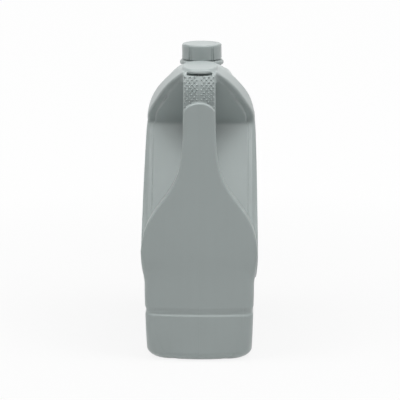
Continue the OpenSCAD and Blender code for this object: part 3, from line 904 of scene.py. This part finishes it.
class JUG_OT_pips(bpy.types.Operator):
    """Sets rows of pips on the handle's grip"""
    bl_idname = "jug.pips"
    bl_label = "Grip pips"

    def execute(self, context):
        form = jug_form(context)
        sizes = ("Pitch", "Low", "High", "Half width", "Arch", "Strip", "Pip radius", "Stretch")
        tree = Growth("grip pips", sizes, Shell="Object")
        pitch, low, high, half = tree["Pitch"], tree["Low"], tree["High"], tree["Half width"]
        rise, tall = pitch * 0.5, high - low
        columns, rows = tree.maths("ROUND", half * 2 / pitch), tree.maths("ROUND", tall / rise)
        grid = tree.add("GeometryNodeMeshGrid", None, {
            "Size X": (columns + 1) * pitch, "Size Y": rows * rise,
            "Vertices X": columns + 2, "Vertices Y": rows + 1})
        spot = tree.add("GeometryNodeInputPosition")
        y = tree.axis(spot, "Y")
        odd = tree.maths("ROUND", (y + tall) / rise) % 2
        shifted = tree.axis(spot, "X") + odd * pitch * 0.5
        placed = tree.moved(grid, tree.vector(shifted, PIP_START_Y, y + (low + high) * 0.5))
        x, z = abs(tree.axis(spot, "X")), tree.axis(spot, "Z")
        ledge = low + tree["Arch"] * tree.maths("MAXIMUM", 1 - (x / half) ** 2) ** 0.5
        off = (z < ledge) + (x < tree["Strip"]) + (half * form.pip_share < x)
        kept = tree.add("GeometryNodeDeleteGeometry", {"domain": "POINT"},
                        {"Geometry": placed, "Selection": off})
        shell = tree.add("GeometryNodeObjectInfo", {"transform_space": "ORIGINAL"},
                         {"Object": tree["Shell"]}, output="Geometry")
        aim = {"Target Geometry": shell, "Source Position": tree.vectors("ADD", spot, RAY_START),
               "Ray Direction": (0.0, 1.0, 0.0), "Ray Length": 0.2}
        landed = tree.moved(kept, tree.add("GeometryNodeRaycast", None, aim, output="Hit Position"))
        lean = tree.add("GeometryNodeRaycast", None, aim, output="Hit Normal")
        turn = tree.add("FunctionNodeAlignRotationToVector", {"axis": "Z"}, {"Vector": lean})
        pip = tree.add("GeometryNodeMeshUVSphere", None,
                       {"Segments": 8, "Rings": 5, "Radius": tree["Pip radius"]})
        tree.close_repeated(landed, pip, turn, tree.vector(1.0, 1.0, tree["Stretch"]))
        foot, lip = form.tongue_top - form.tongue_arch, form.ridge_top - form.lip_height
        pips = tree.grow("grip_pips", {
            "Shell": bpy.data.objects["jug_shell"], "Pitch": form.pip_pitch * MM,
            "Low": (foot + form.pip_low) * MM, "High": (lip - form.pip_high) * MM,
            "Half width": form.grip_half * MM, "Arch": form.tongue_arch * MM,
            "Strip": form.pip_strip * MM, "Pip radius": form.pip_radius * MM, "Stretch": form.pip_stretch,
            "Material": finish_named(context, "jug_plastic")})
        put(pips, "jug", "jug_plastic")
        return {"FINISHED"}


def wind_thread(name, form, low, radius, turns, thick, grey):
    """A round thread that climbs to the right about the neck's axis and fades out at both ends."""
    tree = Growth("screw thread", ("Radius", "Lead", "Turns", "Round"), Centre="Vector")
    steps, reach = 160, tree["Radius"]
    line = tree.add("GeometryNodeMeshLine", None, {"Count": steps})
    wound = tree.add("GeometryNodeInputIndex") / (steps - 1) * tree["Turns"]
    angle = wound * (2 * math.pi)
    spot = tree.vector(tree.maths("COSINE", angle) * reach, tree.maths("SINE", angle) * reach,
                       wound * tree["Lead"])
    placed = tree.moved(line, tree.vectors("ADD", spot, tree["Centre"]))
    path = tree.add("GeometryNodeMeshToCurve", None, {"Mesh": placed})
    along = tree.add("GeometryNodeSplineParameter", output="Factor")
    fade = tree.ramp(tree.maths("MINIMUM", along, 1 - along), 0.0, 0.06, 0.3, 1.0)
    tree.close(tree.rod(path, fade, 10))
    return tree.grow(name, {
        "Centre": (0.0, form.neck_y * MM, low * MM), "Radius": radius * MM, "Lead": form.thread_lead * MM,
        "Turns": turns, "Round": thick * MM, "Material": grey})


class JUG_OT_neck(bpy.types.Operator):
    """Turns the neck with its flange and ring stop, and winds its thread"""
    bl_idname = "jug.neck"
    bl_label = "Threaded neck"

    def execute(self, context):
        form, grey = jug_form(context), finish_named(context, "jug_plastic")
        bore, radius, low, skirt = form.bore_radius, form.neck_radius, form.ring_low, form.skirt_low
        foot, flange, stop = form.platform_z - form.neck_sink, radius + form.flange, radius + form.stop_rise
        top = form.cap_top - form.cap_wall - form.liner_thick
        profile = softened([
            (bore, foot, 0), (flange, foot, 0), (flange, low, 0.6), (radius, low, 0.4),
            (radius, skirt + form.stop_low, 0.3), (stop, skirt + form.stop_low, 0.25),
            (stop, skirt + form.stop_high, 0.25), (radius, skirt + form.stop_end, 0.4),
            (radius, top, 0.6), (bore, top, 0.5)])
        put(lathe("jug_neck", profile, form.neck_y, 96, grey), "jug", "jug_plastic")
        reach, turns, thick = form.neck_thread
        start = skirt + form.thread_start
        thread = wind_thread("neck_thread", form, start, radius + reach, turns, thick, grey)
        put(thread, "jug", "jug_plastic")
        return {"FINISHED"}


class JUG_OT_cap(bpy.types.Operator):
    """Turns the screw cap, sets its rib pairs and winds the thread inside it"""
    bl_idname = "jug.cap"
    bl_label = "Screw cap"

    def execute(self, context):
        form, grey = jug_form(context), finish_named(context, "cap_plastic")
        low, top, radius = form.skirt_low, form.cap_top, form.cap_radius
        inner, under, dish = radius - form.cap_wall, top - form.cap_wall, top - form.dish
        profile = softened([
            (0, dish, 0), (0, under, 0), (inner, under, 0.5), (inner, low, 0.3), (radius, low, 0.35),
            (radius, top, 2.6), (radius - form.dish_start, top, 0.8),
            (radius - form.dish_full, dish, 0.8)], steps=8)
        put(lathe("screw_cap", profile, form.neck_y, 144, grey), "screw_cap", "cap_plastic", "cap")
        tree = Growth("cap ribs", ("Spread", "Radius", "Low", "High", "Round"), Centre="Vector", Pairs="Int")
        spots = tree.add("GeometryNodePoints", None, {"Count": tree["Pairs"] * 2, "Position": tree["Centre"]})
        index = tree.add("GeometryNodeInputIndex")
        middle = (tree.maths("FLOOR", index / 2.0) + 0.5) * (2 * math.pi) / tree["Pairs"] - math.pi / 2
        turn = middle + (index % 2.0 - 0.5) * tree["Spread"]
        bar = tree.add("GeometryNodeCurvePrimitiveLine", None, {
            "Start": tree.vector(tree["Radius"], 0.0, tree["Low"]),
            "End": tree.vector(tree["Radius"] - RIB_LEAN, 0.0, tree["High"])})
        bar = tree.add("GeometryNodeResampleCurve", None, {"Curve": bar, "Count": 12})
        fade = tree.ramp(tree.add("GeometryNodeSplineParameter", output="Factor"), 0.86, 1.0, 1.0, 0.35)
        tree.close_repeated(spots, tree.rod(bar, fade, 12), tree.vector(0.0, 0.0, turn))
        closure = context.scene.closure_sizes
        ribs = tree.grow("cap_ribs", {
            "Centre": (0.0, form.neck_y * MM, 0.0), "Pairs": closure.rib_pairs, "Spread": closure.rib_spread,
            "Radius": (radius + form.rib_rise - form.rib_round) * MM, "Low": (low + form.rib_low) * MM,
            "High": (top - form.rib_high) * MM, "Round": form.rib_round * MM, "Material": grey})
        put(ribs, "screw_cap", "cap_plastic")
        reach, turns, thick = form.cap_thread
        start = low + form.thread_start - form.thread_lead / 2
        thread = wind_thread("cap_thread", form, start, inner + reach, turns, thick, grey)
        put(thread, "screw_cap", "cap_plastic")
        return {"FINISHED"}


class JUG_OT_ring(bpy.types.Operator):
    """Turns the tamper ring and sets the torn bridges on it"""
    bl_idname = "jug.ring"
    bl_label = "Tamper ring"

    def execute(self, context):
        form, grey = jug_form(context), finish_named(context, "cap_plastic")
        inner, outer = form.neck_radius + form.ring_clear, form.ring_radius
        low, high, chamfer = form.ring_low, form.ring_high, form.ring_chamfer
        profile = softened([
            (inner, low, 0.2), (outer - chamfer, low, 0.2), (outer, low + chamfer, 0.4),
            (outer, high - form.ring_fall, 0.4), (outer - form.ring_slope, high - form.ring_dip, 0.4),
            (inner, high, 0.2)])
        ring = lathe("tamper_band", profile, form.neck_y, 144, grey)
        put(ring, "jug", "cap_plastic", "tamper_ring")
        tree = Growth("ring bridges", ("Radius",), Centre="Vector", Count="Int", Size="Vector")
        spots = tree.add("GeometryNodePoints", None, {"Count": tree["Count"], "Position": tree["Centre"]})
        turn = tree.add("GeometryNodeInputIndex") * (2 * math.pi) / tree["Count"]
        stub = tree.add("GeometryNodeMeshCube", None, {"Size": tree["Size"]})
        stub = tree.add("GeometryNodeTransform", None, {
            "Geometry": stub, "Translation": tree.vector(tree["Radius"], 0.0, 0.0)})
        tree.close_repeated(spots, stub, tree.vector(0.0, 0.0, turn))
        bridges = tree.grow("ring_bridges", {
            "Centre": (0.0, form.neck_y * MM, (high + form.bridge_over) * MM),
            "Radius": (form.cap_radius - form.bridge_in) * MM, "Count": context.scene.closure_sizes.bridges,
            "Size": [side * MM for side in BRIDGE_SIZE], "Material": grey})
        put(bridges, "jug", "cap_plastic")
        return {"FINISHED"}


class JUG_OT_liner(bpy.types.Operator):
    """Gives the cap's liner its foamed finish"""
    bl_idname = "jug.liner"
    bl_label = "Cap liner"

    def execute(self, context):
        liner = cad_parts["cap_liner"]
        liner.data.materials.clear()
        liner.data.materials.append(finish_named(context, "liner_foam"))
        return {"FINISHED"}


class JUG_OT_stage(bpy.types.Operator):
    """Sets the white floor, the soft boxes and the camera"""
    bl_idname = "jug.stage"
    bl_label = "Studio"

    def stand(self, context, name, data, place, aim):
        """Puts a lamp or a camera in place, facing a point."""
        thing = bpy.data.objects.new(name, data)
        thing.location = place
        thing.rotation_euler = (Vector(aim) - thing.location).to_track_quat("-Z", "Y").to_euler()
        context.scene.collection.objects.link(thing)
        return thing

    def seen(self, sheet):
        """1 for the rays that look at the studio, by eye, gloss or glass."""
        paths = [sheet.add("ShaderNodeLightPath", output=name)
                 for name in ("Is Camera Ray", "Is Glossy Ray", "Is Transmission Ray")]
        return sheet.maths("MAXIMUM", sheet.maths("MAXIMUM", paths[0], paths[1]), paths[2])

    def paper(self):
        """White paper that keeps the jug's shadow and brightens to plain white away from it."""
        material, sheet, shader = new_finish("studio_paper")
        sheet.feed(shader, {"Base Color": PAPER_WHITE, "Roughness": 0.9})
        glow = sheet.add("ShaderNodeEmission", None, {"Color": WHITE, "Strength": 1.0})
        place = sheet.add("ShaderNodeTexCoord", output="Object")
        bright = sheet.ramp(sheet.vectors("LENGTH", place, output="Value"), *PAPER_RUN, *PAPER_GLOW)
        mixed = sheet.add("ShaderNodeMixShader", None, {
            0: self.seen(sheet) * bright, 1: Wire(sheet, shader.outputs[0]), 2: glow})
        sheet.feed(material.node_tree.nodes["Material Output"], {"Surface": mixed})
        return material

    def execute(self, context):
        scene = context.scene
        scene.view_settings.view_transform = "Standard"
        corners = [(x * FLOOR_HALF, y * FLOOR_HALF, 0) for x, y in ((-1, -1), (1, -1), (1, 1), (-1, 1))]
        floor = mesh_object("studio_floor", corners, [(0, 1, 2, 3)], self.paper())
        world = bpy.data.worlds.new("studio")
        scene.world = world
        world.use_nodes = True
        sheet = Sheet(world.node_tree)
        level = self.seen(sheet) * (1 - WORLD_FILL) + WORLD_FILL
        sheet.feed(world.node_tree.nodes["Background"], {"Color": WHITE, "Strength": level})
        for name, place, size, power in SOFT_BOXES:
            lamp = bpy.data.lights.new(name, "AREA")
            lamp.shape, lamp.size, lamp.size_y, lamp.energy = "RECTANGLE", size[0], size[1], power
            self.stand(context, name, lamp, place, LAMP_AIM)
        lens = bpy.data.cameras.new("camera")
        lens.lens, lens.sensor_width = CAMERA_LENS, CAMERA_SENSOR
        scene.camera = self.stand(context, "camera", lens, CAMERA_PLACE, CAMERA_AIM)
        return {"FINISHED"}


STEPS = (JUG_OT_shell, JUG_OT_pips, JUG_OT_neck, JUG_OT_cap, JUG_OT_ring, JUG_OT_liner, JUG_OT_stage)


class JUG_PT_panel(bpy.types.Panel):
    """The jug's sizes, colours and building steps"""
    bl_idname = "JUG_PT_panel"
    bl_label = "Gear oil jug"
    bl_space_type = "VIEW_3D"
    bl_region_type = "UI"
    bl_category = "Oil jug"

    def draw(self, context):
        for step in STEPS:
            self.layout.operator(step.bl_idname)
        for group in (context.scene.jug_sizes, context.scene.closure_sizes, context.scene.jug_colours):
            column = self.layout.column(align=True)
            for name in type(group).__annotations__:
                column.prop(group, name)


CLASSES = (JugSizes, ClosureSizes, JugColours) + STEPS + (JUG_PT_panel,)


def register():
    for made in CLASSES:
        bpy.utils.register_class(made)
    bpy.types.Scene.jug_sizes = bpy.props.PointerProperty(type=JugSizes)
    bpy.types.Scene.closure_sizes = bpy.props.PointerProperty(type=ClosureSizes)
    bpy.types.Scene.jug_colours = bpy.props.PointerProperty(type=JugColours)


def unregister():
    for name in ("jug_sizes", "closure_sizes", "jug_colours"):
        delattr(bpy.types.Scene, name)
    for made in reversed(CLASSES):
        bpy.utils.unregister_class(made)


def main():
    register()
    for step in (bpy.ops.jug.shell, bpy.ops.jug.pips, bpy.ops.jug.neck, bpy.ops.jug.cap, bpy.ops.jug.ring,
                 bpy.ops.jug.liner, bpy.ops.jug.stage):
        step()


if __name__ == "__main__":
    main()
